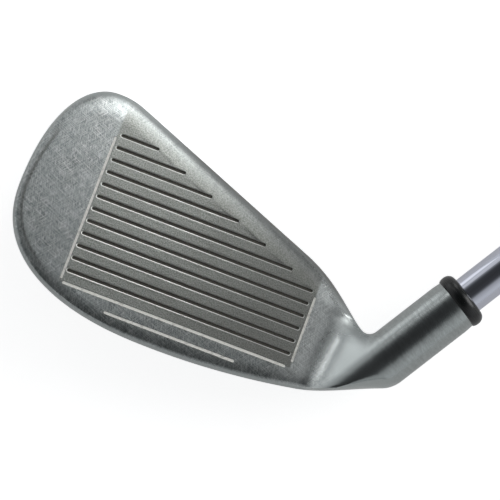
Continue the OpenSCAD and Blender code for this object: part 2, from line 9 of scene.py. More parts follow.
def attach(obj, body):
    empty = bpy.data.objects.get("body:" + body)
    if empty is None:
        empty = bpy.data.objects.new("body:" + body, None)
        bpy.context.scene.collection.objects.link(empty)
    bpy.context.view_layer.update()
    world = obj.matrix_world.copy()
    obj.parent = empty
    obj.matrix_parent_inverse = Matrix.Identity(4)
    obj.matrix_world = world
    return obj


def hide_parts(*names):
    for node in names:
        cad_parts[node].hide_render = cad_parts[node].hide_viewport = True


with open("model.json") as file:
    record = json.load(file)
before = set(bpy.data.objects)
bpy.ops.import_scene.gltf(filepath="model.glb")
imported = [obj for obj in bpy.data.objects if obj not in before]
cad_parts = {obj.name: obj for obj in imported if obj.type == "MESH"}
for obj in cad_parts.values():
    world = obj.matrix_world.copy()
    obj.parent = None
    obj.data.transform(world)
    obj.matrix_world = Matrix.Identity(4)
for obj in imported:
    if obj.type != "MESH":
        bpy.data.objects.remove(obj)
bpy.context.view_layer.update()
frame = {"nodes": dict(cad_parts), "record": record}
nodes = frame["nodes"]
mounts = {m["name"]: m for m in frame["record"]["mounts"]}
scene = bpy.context.scene
scene.view_settings.view_transform = "Standard"
mm = 0.001
print("frame loaded:", len(nodes), "nodes")

# the club's own angles, the vent's middle up the shaft, and the foot of the face at the ground
club = {"lie": 58.5, "loft": 20.5, "length": 990, "ventUpShaft": 987.75, "faceFoot": -5.5}


def degSin(angle):
    return math.sin(math.radians(angle))


def degCos(angle):
    return math.cos(math.radians(angle))


def mix(a, b, t):
    return a + (b - a) * t


def basisOf(first, second):
    x = first.normalized()
    y = (second - x * second.dot(x)).normalized()
    return Matrix((x, y, x.cross(y))).transposed()


# address frame: shaft's axis meets the ground at 0, toe at -X, face to -Y, up is Z
shaftDir = Vector(mounts["grip_vent"]["axis"]).normalized()
faceDir = Vector(mounts["striking_face"]["axis"]).normalized()
uprightShaft = Vector((degCos(club["lie"]), 0, degSin(club["lie"])))
uprightFace = Vector((0, -degCos(club["loft"]), degSin(club["loft"])))
turn = basisOf(shaftDir, faceDir) @ basisOf(uprightShaft, uprightFace).transposed()
groundPoint = Vector(mounts["grip_vent"]["pos_m"]) - shaftDir * club["ventUpShaft"] * mm


def lying(x, y, z):
    return groundPoint + turn @ Vector((x, y, z)) * mm


# camera: square to the target line, rolled so that the shaft leaves at the right, aim and distance in mm
viewpoint = {"aim": (-29.4, 31.3), "distance": 674.5, "roll": 20.74, "lens": 198.4, "sensor": 36,
             "clip": 0.01}
camData = bpy.data.cameras.new("camera")
camera = bpy.data.objects.new("camera", camData)
scene.collection.objects.link(camera)
scene.camera = camera
camData.sensor_width = viewpoint["sensor"]
camData.lens = viewpoint["lens"]
camData.clip_start = viewpoint["clip"]
camRight = turn @ Vector((degCos(viewpoint["roll"]), 0, degSin(viewpoint["roll"])))
camUp = turn @ Vector((-degSin(viewpoint["roll"]), 0, degCos(viewpoint["roll"])))
camBack = turn @ Vector((0, -1, 0))
camera.matrix_world = Matrix.Translation(
    lying(viewpoint["aim"][0], -viewpoint["distance"], viewpoint["aim"][1])
) @ Matrix((camRight, camUp, camBack)).transposed().to_4x4()
print("camera placed")


def linear(hexText):
    parts = [int(hexText[i:i + 2], 16) / 255 for i in (1, 3, 5)]
    return [p / 12.92 if p <= 0.04045 else ((p + 0.055) / 1.055) ** 2.4 for p in parts] + [1.0]


def addNode(tree, kind, settings=None, links=None):
    node = tree.nodes.new(kind)
    for name, value in (settings or {}).items():
        if isinstance(name, str) and name in node.bl_rna.properties:
            setattr(node, name, value)
        else:
            node.inputs[name].default_value = value
    for name, source in (links or {}).items():
        tree.links.new(source, node.inputs[name])
    return node


def newMaterial(name):
    mat = bpy.data.materials.new(name)
    mat.use_nodes = True
    tree = mat.node_tree
    return mat, tree, tree.nodes["Principled BSDF"]


def setStops(ramp, stops):
    elements = ramp.color_ramp.elements
    while len(elements) < len(stops):
        elements.new(0.5)
    for element, (position, shade) in zip(elements, stops):
        element.position = position
        element.color = linear(shade)


# studio: a pale tent with a dark opening round the camera, dimmer above the blade and below it
tent = {
    "openingShift": 9,
    "stops": [(0, "#3a3b3c"), (22, "#434446"), (31, "#5c5e60"), (38, "#8c8e8f"), (44, "#b2b4b6"),
              (56, "#c9cbcd"), (70, "#dee1e3"), (86, "#e4e7e9"), (104, "#c8cbcd"), (180, "#b2b4b6")],
    "upAxis": (0.2, 0, 0.98),
    "dim": [(0, "#8a8a8a"), (0.15, "#b4b4b4"), (0.33, "#e4e4e4"), (0.5, "#ffffff"), (0.68, "#f8f8f8"),
            (0.84, "#b8b8b8"), (1, "#9c9c9c")],
}
lowerRight = turn @ Vector((degSin(club["lie"]), 0, -degCos(club["lie"])))
opening = camBack * degCos(tent["openingShift"]) - lowerRight * degSin(tent["openingShift"])
world = bpy.data.worlds.new("tent")
scene.world = world
world.use_nodes = True
tree = world.node_tree
coords = addNode(tree, "ShaderNodeTexCoord")
towards = addNode(tree, "ShaderNodeVectorMath", {"operation": "DOT_PRODUCT", 1: opening},
                  {0: coords.outputs["Generated"]})
angle = addNode(tree, "ShaderNodeMath", {"operation": "ARCCOSINE"}, {0: towards.outputs["Value"]})
share = addNode(tree, "ShaderNodeMath", {"operation": "DIVIDE", 1: math.pi}, {0: angle.outputs[0]})
ramp = addNode(tree, "ShaderNodeValToRGB", None, {"Fac": share.outputs[0]})
setStops(ramp, [(degrees / 180, shade) for degrees, shade in tent["stops"]])
rise = addNode(tree, "ShaderNodeVectorMath",
               {"operation": "DOT_PRODUCT", 1: turn @ Vector(tent["upAxis"]).normalized()},
               {0: coords.outputs["Generated"]})
rise = addNode(tree, "ShaderNodeMath", {"operation": "MULTIPLY_ADD", 1: 0.5, 2: 0.5},
               {0: rise.outputs["Value"]})
dim = addNode(tree, "ShaderNodeValToRGB", None, {"Fac": rise.outputs[0]})
setStops(dim, tent["dim"])
sky = addNode(tree, "ShaderNodeMix", {"data_type": "RGBA", "blend_type": "MULTIPLY", 0: 1},
              {6: ramp.outputs["Color"], 7: dim.outputs["Color"]})
tree.links.new(sky.outputs[2], tree.nodes["Background"].inputs["Color"])

# soft boxes: each faces a point of the head, in mm, from a direction in the address frame; away and size
# are in metres, and a spread in degrees keeps a close box to a small patch
softBoxes = {
    "topBox": {"lights": (-66, 0, 53), "towards": (0.05, -0.4, 0.915), "away": 0.12, "size": (0.05, 0.05),
               "radiance": 0.74, "spread": 60},
    "rimBox": {"lights": (-70, 0, 45), "towards": (-0.05, -0.1, 0.99), "away": 0.4, "size": (0.25, 0.12),
               "radiance": 1.5},
    "neckBox": {"lights": (-10, 0, 18), "towards": (-0.6, -0.47, 0.64), "away": 1.2, "size": (0.15, 0.15),
                "radiance": 1.5},
    "fillBox": {"lights": (-40, 0, 25), "towards": (0.7, -0.4, 0.6), "away": 0.8, "size": (0.5, 0.5),
                "radiance": 3.0},
    "flankBox": {"lights": (-4, 0, 25), "towards": (-0.85, -0.1, 0.52), "away": 0.2, "size": (0.1, 0.1),
                 "radiance": 0.018, "spread": 34},
    "toeBox": {"lights": (-72, 0, 50), "towards": (-0.35, -0.62, 0.7), "away": 0.22, "size": (0.1, 0.1),
               "radiance": 0.2},
}
for name, box in softBoxes.items():
    lampData = bpy.data.lights.new(name, "AREA")
    lampData.shape = "RECTANGLE"
    lampData.size, lampData.size_y = box["size"]
    lampData.spread = math.radians(box.get("spread", 180))
    lampData.energy = box["radiance"] * math.pi * box["size"][0] * box["size"][1]
    lamp = bpy.data.objects.new(name, lampData)
    scene.collection.objects.link(lamp)
    outward = turn @ Vector(box["towards"]).normalized()
    across = outward.cross(camUp).normalized()
    lamp.matrix_world = Matrix.Translation(lying(*box["lights"]) + outward * box["away"]) @ Matrix(
        (across, outward.cross(across), outward)).transposed().to_4x4()

# floor: white to the camera, dimmer in the metal, and it keeps the club's shadow
floorSpec = {"size": 30, "lit": "#d8d8d8", "glow": 0.8, "mirrorGlow": 0.25, "glowColour": "#ffffff"}
floorMesh = bpy.data.meshes.new("floor")
bm = bmesh.new()
bmesh.ops.create_grid(bm, x_segments=1, y_segments=1, size=floorSpec["size"])
bm.to_mesh(floorMesh)
bm.free()
floor = bpy.data.objects.new("floor", floorMesh)
scene.collection.objects.link(floor)
mat, tree, shader = newMaterial("paleFloor")
shader.inputs["Base Color"].default_value = linear(floorSpec["lit"])
shader.inputs["Roughness"].default_value = 1
shader.inputs["Specular IOR Level"].default_value = 0
shader.inputs["Emission Color"].default_value = linear(floorSpec["glowColour"])
path = addNode(tree, "ShaderNodeLightPath")
mirrored = addNode(tree, "ShaderNodeMath", {"operation": "MAXIMUM"},
                   {0: path.outputs["Is Glossy Ray"], 1: path.outputs["Is Transmission Ray"]})
mirrored = addNode(tree, "ShaderNodeMath", {"operation": "MULTIPLY", 1: floorSpec["mirrorGlow"]},
                   {0: mirrored.outputs[0]})
glow = addNode(tree, "ShaderNodeMath", {"operation": "MULTIPLY_ADD", 1: floorSpec["glow"]},
               {0: path.outputs["Is Camera Ray"], 2: mirrored.outputs[0]})
tree.links.new(glow.outputs[0], shader.inputs["Emission Strength"])
floorMesh.materials.append(mat)
print("studio built")

# object coordinates to face coordinates in mm: along the blade, up the face, out of the face
faceAxes = Matrix((turn @ Vector((1, 0, 0)),
                   turn @ Vector((0, degSin(club["loft"]), degCos(club["loft"]))),
                   faceDir))
faceFoot = lying(0, club["faceFoot"], 0)
# object coordinates to shaft coordinates in mm: up the shaft, then two across it
acrossDir = (faceDir - shaftDir * faceDir.dot(shaftDir)).normalized()
shaftAxes = Matrix((shaftDir, acrossDir, shaftDir.cross(acrossDir)))


def ownCoords(tree, axes, origin):
    coords = addNode(tree, "ShaderNodeTexCoord")
    mapping = addNode(tree, "ShaderNodeMapping", {
        "Location": -(axes @ origin) / mm,
        "Rotation": axes.to_euler("XYZ"),
        "Scale": (1 / mm, 1 / mm, 1 / mm),
    }, {"Vector": coords.outputs["Object"]})
    return mapping.outputs["Vector"]


# stainless steel, cast, then blasted between the frame lines, belt-polished beside them and ground across
# the hosel: a speckled matt middle, fine crossed scratches and soft streaks; the scratches and the grinding
# marks are drawn coarser than real ones, so that they show at this size
steel = {
    # the stain colour serves real stains (mottle, grinding marks, nicks) and painted shade (the toe rim's
    # line, the rolled edges, the low face, the heel end of the face)
    "blasted": ("#767975", "#b4b7b2"), "polished": ("#5b6363", "#dbe0df"), "scuff": "#e6e8e6",
    "stain": "#5d5b57", "rimShine": 0.54, "blastedRough": (0.4, 0.54), "panelRough": (0.32, 0.42),
    "rimRough": (0.3, 0.38), "hoselRough": (0.17, 0.25),
    # where one finish passes into the next, in mm along, up and out of the face, and up the shaft
    "toeLine": -70.4, "heelLine": -10.2, "footLine": 8.4, "lineSoft": 0.3, "face": (-1.6, -0.2),
    "flat": (-0.15, -0.01), "roll": (-0.7, -0.05), "rollBlast": 0.3, "panel": (2, -9), "neck": (-7, -3),
    "neckTop": (24, 18), "hosel": (16, 24),
    # painted shade in the stain colour: a dark line along the toe's rim, the topline's rolled edge, darker
    # low on the face and towards the heel
    "rimDrop": (-0.03, -0.42), "rimDropAt": (44, 58), "rimInner": (0.1, 0.9), "rimOuter": (3.4, 1.3),
    "rimUp": (8, 14), "rimTop": (48, 43), "rimToe": (-58, -66), "rimStain": 0.5,
    # painted shade on the rolled edges and low on the face
    "edge": (-0.3, -1.9), "edgeShadeMost": 0.75, "lowFaceShade": (26, 4), "shadeFromToe": (-66, -44), "lowFaceShadeMost": 0.16,
    # painted shade darker towards the heel end of the face; then the mottle, a real random tone
    "heelwardShade": (-52, -22), "heelwardShadeMost": 0.3, "mottle": (0.4, 1), "mottleStain": 0.14,
    "heelPanel": (-15, -7), "heelLift": 0.4,  # the panel beside the heel line is polished brighter
    # patterns: sizes and depths in mm, and the span of the noise that shows
    "grain": {"size": 0.32, "detail": 2, "rough": 0.6, "shows": (0.32, 0.68), "most": 1}, "grainDepth": 0.016,
    "patch": {"size": 9, "detail": 4, "rough": 0.6, "shows": (0.3, 0.7), "most": 1},
    "nick": {"size": 1.1, "detail": 3, "rough": 0.7, "shows": (0.72, 0.8), "most": 0.8},
    "hatch": {"lanes": [(24, 5, 0.2), (-52, 3, 0.22), (78, 2, 0.24)], "detail": 3, "rough": 0.65,
              "shows": (0.36, 0.64), "scuffs": (0.58, 0.66), "depth": 0.022},
    "grind": {"pitch": 0.6, "run": 2.4, "detail": 4, "rough": 0.65, "shows": (0.35, 0.75), "stain": 0.3,
              "depth": 0.045},
}
satinSteel, tree, shader = newMaterial("satinStainlessSteel")
spot = ownCoords(tree, faceAxes, faceFoot)
place = addNode(tree, "ShaderNodeSeparateXYZ", None, {0: spot}).outputs
soft = steel["lineSoft"]
ramps = {}
for name, axis, (low, high) in (
        ("toe", "X", (steel["toeLine"] - soft, steel["toeLine"] + soft)),
        ("heel", "X", (steel["heelLine"] + soft, steel["heelLine"] - soft)),
        ("foot", "Y", (steel["footLine"] - soft, steel["footLine"] + soft)),
        ("face", "Z", steel["face"]), ("flat", "Z", steel["flat"]), ("panel", "X", steel["panel"]),
        ("neck", "X", steel["neck"]), ("neckTop", "Y", steel["neckTop"]), ("shadeFromToe", "X", steel["shadeFromToe"]),
        ("rimUp", "Y", steel["rimUp"]), ("rimTop", "Y", steel["rimTop"]), ("rimToe", "X", steel["rimToe"])):
    ramps[name] = addNode(tree, "ShaderNodeMapRange", {"interpolation_type": "SMOOTHSTEP", 1: low, 2: high},
                          {0: place[axis]}).outputs[0]
# the edge ramp is painted shade on the rolled edges, and the two after it are painted shade low on the face
# and towards the heel
for name, axis, bottom, top in (
        ("roll", "Z", steel["rollBlast"], 1), ("edge", "Z", 0, steel["edgeShadeMost"]),
        ("lowFaceShade", "Y", 0, steel["lowFaceShadeMost"]), ("heelwardShade", "X", 0, steel["heelwardShadeMost"]),
        ("heelPanel", "X", 0, steel["heelLift"])):
    ramps[name] = addNode(tree, "ShaderNodeMapRange", {1: steel[name][0], 2: steel[name][1],
                                                       3: bottom, 4: top}, {0: place[axis]}).outputs[0]
# the toe rim's line of painted shade lies where the toe has rolled a little below the face, further below
# near the top
rimDrop = addNode(tree, "ShaderNodeMapRange", {1: steel["rimDropAt"][0], 2: steel["rimDropAt"][1],
                                               3: steel["rimDrop"][0], 4: steel["rimDrop"][1]},
                  {0: place["Y"]})
rimDrop = addNode(tree, "ShaderNodeMath", {"operation": "DIVIDE"}, {0: place["Z"], 1: rimDrop.outputs[0]})
for name, top in (("rimInner", 1), ("rimOuter", steel["rimStain"])):
    ramps[name] = addNode(tree, "ShaderNodeMapRange", {
        "interpolation_type": "SMOOTHSTEP", 1: steel[name][0], 2: steel[name][1], 4: top,
    }, {0: rimDrop.outputs[0]}).outputs[0]
masks = {}
# the masks for the toe rim's line, the rolled edges, the low face and the heel end are painted shade
for name, parts in (("blast", ("toe", "heel", "foot", "face", "roll")),
                    ("grain", ("toe", "heel", "foot", "face", "roll", "flat")),
                    ("panel", ("panel", "face")), ("neck", ("neck", "neckTop")),
                    ("rim", ("rimInner", "rimOuter", "rimUp", "rimTop", "rimToe")),
                    ("edge", ("edge", "rimUp", "shadeFromToe", "panel")),
                    ("lowFaceShade", ("lowFaceShade", "shadeFromToe", "panel", "face")),
                    ("heelwardShade", ("heelwardShade", "toe", "heel", "foot", "face"))):
    masks[name] = ramps[parts[0]]
    for part in parts[1:]:
        masks[name] = addNode(tree, "ShaderNodeMath", {"operation": "MULTIPLY"},
                              {0: masks[name], 1: ramps[part]}).outputs[0]
noises = {}
for name in ("grain", "patch", "nick"):
    look = steel[name]
    noise = addNode(tree, "ShaderNodeTexNoise", {"Scale": 1 / look["size"], "Detail": look["detail"],
                                                 "Roughness": look["rough"]}, {"Vector": spot})
    noises[name] = addNode(tree, "ShaderNodeMapRange", {1: look["shows"][0], 2: look["shows"][1],
                                                        4: look["most"]},
                           {0: noise.outputs["Fac"]}).outputs[0]
look = steel["hatch"]
hatch = scuffs = None
for turnDeg, run, width in look["lanes"]:
    lane = addNode(tree, "ShaderNodeMapping", {"Rotation": (0, 0, math.radians(turnDeg))}, {"Vector": spot})
    lane = addNode(tree, "ShaderNodeMapping", {"Scale": (1 / run, 1 / width, 1 / run)},
                   {"Vector": lane.outputs[0]})
    streak = addNode(tree, "ShaderNodeTexNoise", {"Scale": 1, "Detail": look["detail"],
                                                  "Roughness": look["rough"]}, {"Vector": lane.outputs[0]})
    fine = addNode(tree, "ShaderNodeMapRange", {1: look["shows"][0], 2: look["shows"][1],
                                                4: 1 / len(look["lanes"])},
                   {0: streak.outputs["Fac"]}).outputs[0]
    deep = addNode(tree, "ShaderNodeMapRange", {1: look["scuffs"][0], 2: look["scuffs"][1]},
                   {0: streak.outputs["Fac"]}).outputs[0]
    if hatch:
        fine = addNode(tree, "ShaderNodeMath", {"operation": "ADD"}, {0: hatch, 1: fine}).outputs[0]
        deep = addNode(tree, "ShaderNodeMath", {"operation": "MAXIMUM"}, {0: scuffs, 1: deep}).outputs[0]
    hatch, scuffs = fine, deep
for mask in (noises["patch"], masks["panel"]):
    scuffs = addNode(tree, "ShaderNodeMath", {"operation": "MULTIPLY"}, {0: scuffs, 1: mask}).outputs[0]
look = steel["grind"]
upShaft = ownCoords(tree, shaftAxes, groundPoint)
lane = addNode(tree, "ShaderNodeMapping", {"Scale": (1 / look["pitch"], 1 / look["run"], 1 / look["run"])},
               {"Vector": upShaft})
grind = addNode(tree, "ShaderNodeTexNoise", {"Scale": 1, "Detail": look["detail"],
                                             "Roughness": look["rough"]},
                {"Vector": lane.outputs[0]}).outputs["Fac"]
upPlace = addNode(tree, "ShaderNodeSeparateXYZ", None, {0: upShaft}).outputs
onHosel = addNode(tree, "ShaderNodeMapRange", {"interpolation_type": "SMOOTHSTEP", 1: steel["hosel"][0],
                                               2: steel["hosel"][1]}, {0: upPlace["X"]}).outputs[0]
handled = addNode(tree, "ShaderNodeMapRange", {1: look["shows"][0], 2: look["shows"][1], 4: look["stain"]},
                  {0: grind}).outputs[0]
handled = addNode(tree, "ShaderNodeMath", {"operation": "MULTIPLY"}, {0: handled, 1: onHosel}).outputs[0]
bright = addNode(tree, "ShaderNodeMath", {"operation": "MAXIMUM"}, {0: masks["neck"], 1: onHosel}).outputs[0]
mottle = addNode(tree, "ShaderNodeMapRange", {1: steel["mottle"][0], 2: steel["mottle"][1],
                                              4: steel["mottleStain"]}, {0: noises["patch"]}).outputs[0]
mottle = addNode(tree, "ShaderNodeMath", {"operation": "MULTIPLY"}, {0: mottle, 1: masks["panel"]}).outputs[0]
darkSteel, lightSteel = linear(steel["polished"][0]), linear(steel["polished"][1])
blastedColour = addNode(tree, "ShaderNodeMix", {"data_type": "RGBA", 6: linear(steel["blasted"][0]),
                                                7: linear(steel["blasted"][1])}, {0: noises["grain"]})
rimColour = addNode(tree, "ShaderNodeMix", {"data_type": "RGBA", 0: steel["rimShine"], 6: darkSteel,
                                            7: lightSteel})
panelColour = addNode(tree, "ShaderNodeMix", {"data_type": "RGBA", 6: darkSteel, 7: lightSteel}, {0: hatch})
panelColour = addNode(tree, "ShaderNodeMix", {"data_type": "RGBA", 7: linear(steel["scuff"])},
                      {0: scuffs, 6: panelColour.outputs[2]})
panelColour = addNode(tree, "ShaderNodeMix", {"data_type": "RGBA", "blend_type": "ADD",
                                              7: linear(steel["scuff"])},
                      {0: ramps["heelPanel"], 6: panelColour.outputs[2]})
colour = rimColour
for mask, over in ((masks["panel"], panelColour), (masks["blast"], blastedColour)):
    colour = addNode(tree, "ShaderNodeMix", {"data_type": "RGBA"},
                     {0: mask, 6: colour.outputs[2], 7: over.outputs[2]})
# the first four masks paint shade in the stain colour (the toe rim's line, the rolled edges, the low face,
# the heel end of the face); the mottle, grinding marks and nicks are real stains
for mask in (masks["rim"], masks["edge"], masks["lowFaceShade"], masks["heelwardShade"], mottle, handled, noises["nick"]):
    colour = addNode(tree, "ShaderNodeMix", {"data_type": "RGBA", 7: linear(steel["stain"])},
                     {0: mask, 6: colour.outputs[2]})
tree.links.new(colour.outputs[2], shader.inputs["Base Color"])
roughness = None
for name, source, mask in (("rimRough", noises["patch"], None), ("panelRough", hatch, masks["panel"]),
                           ("blastedRough", noises["grain"], masks["blast"]),
                           ("hoselRough", noises["patch"], bright)):
    rough = addNode(tree, "ShaderNodeMapRange", {3: steel[name][0], 4: steel[name][1]},
                    {0: source}).outputs[0]
    if mask:
        rough = addNode(tree, "ShaderNodeMix", {"data_type": "FLOAT"},
                        {0: mask, 2: roughness, 3: rough}).outputs[0]
    roughness = rough
tree.links.new(roughness, shader.inputs["Roughness"])
bump = None
for height, mask, depth in ((noises["grain"], masks["grain"], steel["grainDepth"]),
                            (hatch, masks["panel"], steel["hatch"]["depth"]),
                            (grind, onHosel, steel["grind"]["depth"])):
    height = addNode(tree, "ShaderNodeMath", {"operation": "MULTIPLY"}, {0: height, 1: mask})
    bump = addNode(tree, "ShaderNodeBump", {"Strength": 1, "Distance": depth * mm},
                   {"Height": height.outputs[0], **({"Normal": bump.outputs[0]} if bump else {})})
tree.links.new(bump.outputs[0], shader.inputs["Normal"])
shader.inputs["Metallic"].default_value = 1

# finishes of two mottled shades, with the size of the mottling in mm
onFace, onShaft = (faceAxes, faceFoot), (shaftAxes, groundPoint)
mottledLooks = {
    # the head's steel where the scorelines' lips have worn bright, whitened further as a painted highlight: a
    # thin pale line along each groove
    "wornLipsPaintedHighlight": {"shades": ("#bcbeb9", "#dfe0dc"), "size": 1.4, "rough": 0.34, "metal": 1,
                        "specular": 0.5, "coords": onFace},
    # packed dirt on oxidised steel plus painted shade of the deep grooves: the scorelines stay dark and dull
    # from any side
    "grimyGroove": {"shades": ("#45443f", "#686660"), "size": 0.5, "rough": 0.8, "metal": 0,
                    "specular": 0.2, "coords": onFace},
    # brass, turned: the tip weight's warm metal, hidden in the shaft
    "turnedBrass": {"shades": ("#a8894a", "#c4a662"), "size": 0.4, "rough": 0.32, "metal": 1,
                    "specular": 0.5, "coords": onShaft},
    # two-part adhesive, cured: amber and glossy, hidden in the hosel
    "curedEpoxy": {"shades": ("#a89663", "#c2b07c"), "size": 1.5, "rough": 0.25, "metal": 0,
                   "specular": 0.5, "coords": onShaft},
    # creped paper tape: cream and matt, hidden under the grip
    "paperTape": {"shades": ("#d8cfb4", "#e8e0c8"), "size": 0.6, "rough": 0.85, "metal": 0,
                  "specular": 0.5, "coords": onShaft},
}
mottled = {}
for name, look in mottledLooks.items():
    mottled[name], tree, shader = newMaterial(name)
    spot = ownCoords(tree, *look["coords"])
    shades = addNode(tree, "ShaderNodeTexNoise", {"Scale": 1 / look["size"], "Detail": 3}, {"Vector": spot})
    colour = addNode(tree, "ShaderNodeMix", {"data_type": "RGBA", 6: linear(look["shades"][0]),
                                             7: linear(look["shades"][1])}, {0: shades.outputs["Fac"]})
    tree.links.new(colour.outputs[2], shader.inputs["Base Color"])
    shader.inputs["Roughness"].default_value = look["rough"]
    shader.inputs["Metallic"].default_value = look["metal"]
    shader.inputs["Specular IOR Level"].default_value = look["specular"]

# chrome plate on steel, buffed: a cool mirror, its lavender-blue base colour partly painted reflection of a
# lavender light, with faint rings, drawn coarser than the wheel leaves them
plate = {"shades": ("#c9ccd8", "#d3d5df"), "rough": (0.02, 0.05), "buffPitch": 0.3, "buffAcross": 0.15,
         "cloud": 12, "shows": (0.3, 0.7)}
chrome, tree, shader = newMaterial("chromePlate")
upShaft = ownCoords(tree, shaftAxes, groundPoint)
cloud = addNode(tree, "ShaderNodeTexNoise", {"Scale": 1 / plate["cloud"], "Detail": 4}, {"Vector": upShaft})
lane = addNode(tree, "ShaderNodeMapping", {
    "Scale": (1 / plate["buffPitch"], plate["buffAcross"], plate["buffAcross"])}, {"Vector": upShaft})
buff = addNode(tree, "ShaderNodeTexNoise", {"Scale": 1, "Detail": 2}, {"Vector": lane.outputs[0]})
colour = addNode(tree, "ShaderNodeMix", {"data_type": "RGBA", 6: linear(plate["shades"][0]),
                                         7: linear(plate["shades"][1])}, {0: cloud.outputs["Fac"]})
tree.links.new(colour.outputs[2], shader.inputs["Base Color"])
roughness = addNode(tree, "ShaderNodeMapRange", {1: plate["shows"][0], 2: plate["shows"][1],
                                                 3: plate["rough"][0], 4: plate["rough"][1]},
                    {0: buff.outputs["Fac"]})
tree.links.new(roughness.outputs[0], shader.inputs["Roughness"])
shader.inputs["Metallic"].default_value = 1

# white enamel wiped into the scorelines: worn through in specks, greyer in the toe's frame line
paint = {"fresh": "#f6f5ee", "worn": "#b4b5b0", "toe": "#eeede7", "toeLine": (-69.2, -69.8), "wear": 1.6,
         "wearRough": 0.65, "wornShows": (0.52, 0.72), "wornMost": 0.8, "rough": 0.45}
enamel, tree, shader = newMaterial("whiteEnamel")
spot = ownCoords(tree, faceAxes, faceFoot)
place = addNode(tree, "ShaderNodeSeparateXYZ", None, {0: spot}).outputs
wear = addNode(tree, "ShaderNodeTexNoise", {"Scale": 1 / paint["wear"], "Detail": 4,
                                            "Roughness": paint["wearRough"]}, {"Vector": spot})
wornShare = addNode(tree, "ShaderNodeMapRange", {1: paint["wornShows"][0], 2: paint["wornShows"][1],
                                                 4: paint["wornMost"]}, {0: wear.outputs["Fac"]})
inToe = addNode(tree, "ShaderNodeMapRange", {1: paint["toeLine"][0], 2: paint["toeLine"][1]}, {0: place["X"]})
colour = addNode(tree, "ShaderNodeMix", {"data_type": "RGBA", 6: linear(paint["fresh"]),
                                         7: linear(paint["toe"])}, {0: inToe.outputs[0]})
colour = addNode(tree, "ShaderNodeMix", {"data_type": "RGBA", 7: linear(paint["worn"])},
                 {0: wornShare.outputs[0], 6: colour.outputs[2]})
tree.links.new(colour.outputs[2], shader.inputs["Base Color"])
shader.inputs["Roughness"].default_value = paint["rough"]

# black cellulose acetate, turned and wiped with solvent: a soft sheen, faint turning marks and dust
acetate = {"shades": ("#080a0a", "#121515"), "rough": (0.2, 0.34), "shows": (0.3, 0.7), "turnPitch": 0.25,
           "turnAcross": 0.2, "turnDepth": 0.004, "dust": "#5f6664", "dustSize": 0.35, "dustRough": 0.7,
           "dustShows": (0.66, 0.76), "dustMost": 0.7}
blackPlastic, tree, shader = newMaterial("blackAcetate")
upShaft = ownCoords(tree, shaftAxes, groundPoint)
lane = addNode(tree, "ShaderNodeMapping", {
    "Scale": (1 / acetate["turnPitch"], acetate["turnAcross"], acetate["turnAcross"])}, {"Vector": upShaft})
marks = addNode(tree, "ShaderNodeTexNoise", {"Scale": 1, "Detail": 3}, {"Vector": lane.outputs[0]})
colour = addNode(tree, "ShaderNodeMix", {"data_type": "RGBA", 6: linear(acetate["shades"][0]),
                                         7: linear(acetate["shades"][1])}, {0: marks.outputs["Fac"]})
dust = addNode(tree, "ShaderNodeTexNoise", {"Scale": 1 / acetate["dustSize"], "Detail": 3,
                                            "Roughness": acetate["dustRough"]}, {"Vector": upShaft})
dust = addNode(tree, "ShaderNodeMapRange", {1: acetate["dustShows"][0], 2: acetate["dustShows"][1],
                                            4: acetate["dustMost"]}, {0: dust.outputs["Fac"]})
colour = addNode(tree, "ShaderNodeMix", {"data_type": "RGBA", 7: linear(acetate["dust"])},
                 {0: dust.outputs[0], 6: colour.outputs[2]})
tree.links.new(colour.outputs[2], shader.inputs["Base Color"])
roughness = addNode(tree, "ShaderNodeMapRange", {1: acetate["shows"][0], 2: acetate["shows"][1],
                                                 3: acetate["rough"][0], 4: acetate["rough"][1]},
                    {0: marks.outputs["Fac"]})
tree.links.new(roughness.outputs[0], shader.inputs["Roughness"])
bump = addNode(tree, "ShaderNodeBump", {"Strength": 1, "Distance": acetate["turnDepth"] * mm},
               {"Height": marks.outputs["Fac"]})
tree.links.new(bump.outputs[0], shader.inputs["Normal"])

# black moulded rubber: dull, with a fine pebble from the mould and slightly paler where hands wear it
rubberLook = {"shades": ("#161617", "#232324"), "rough": (0.62, 0.8), "shows": (0.3, 0.7), "wear": 18,
              "pebble": 0.4, "pebbleDepth": 0.03}
rubber, tree, shader = newMaterial("mouldedRubber")
upShaft = ownCoords(tree, shaftAxes, groundPoint)
wear = addNode(tree, "ShaderNodeTexNoise", {"Scale": 1 / rubberLook["wear"], "Detail": 4},
               {"Vector": upShaft})
pebble = addNode(tree, "ShaderNodeTexNoise", {"Scale": 1 / rubberLook["pebble"], "Detail": 2},
                 {"Vector": upShaft})
colour = addNode(tree, "ShaderNodeMix", {"data_type": "RGBA", 6: linear(rubberLook["shades"][0]),
                                         7: linear(rubberLook["shades"][1])}, {0: wear.outputs["Fac"]})
tree.links.new(colour.outputs[2], shader.inputs["Base Color"])
roughness = addNode(tree, "ShaderNodeMapRange", {1: rubberLook["shows"][0], 2: rubberLook["shows"][1],
                                                 3: rubberLook["rough"][0], 4: rubberLook["rough"][1]},
                    {0: wear.outputs["Fac"]})
tree.links.new(roughness.outputs[0], shader.inputs["Roughness"])
bump = addNode(tree, "ShaderNodeBump", {"Strength": 1, "Distance": rubberLook["pebbleDepth"] * mm},
               {"Height": pebble.outputs["Fac"]})
tree.links.new(bump.outputs[0], shader.inputs["Normal"])
print("materials made")


def facePoint(co):
    return faceAxes @ (co - faceFoot) / mm


def linkPiece(name, bm, material, sharp):
    for face in bm.faces:
        face.smooth = True
    for edge in bm.edges:
        edge.smooth = len(edge.link_faces) == 2 and edge.calc_face_angle(0) < math.radians(sharp)
    mesh = bpy.data.meshes.new(name)
    bm.to_mesh(mesh)
    bm.free()
    obj = bpy.data.objects.new(name, mesh)
    scene.collection.objects.link(obj)
    mesh.materials.append(material)
    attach(obj, "root")
    return obj


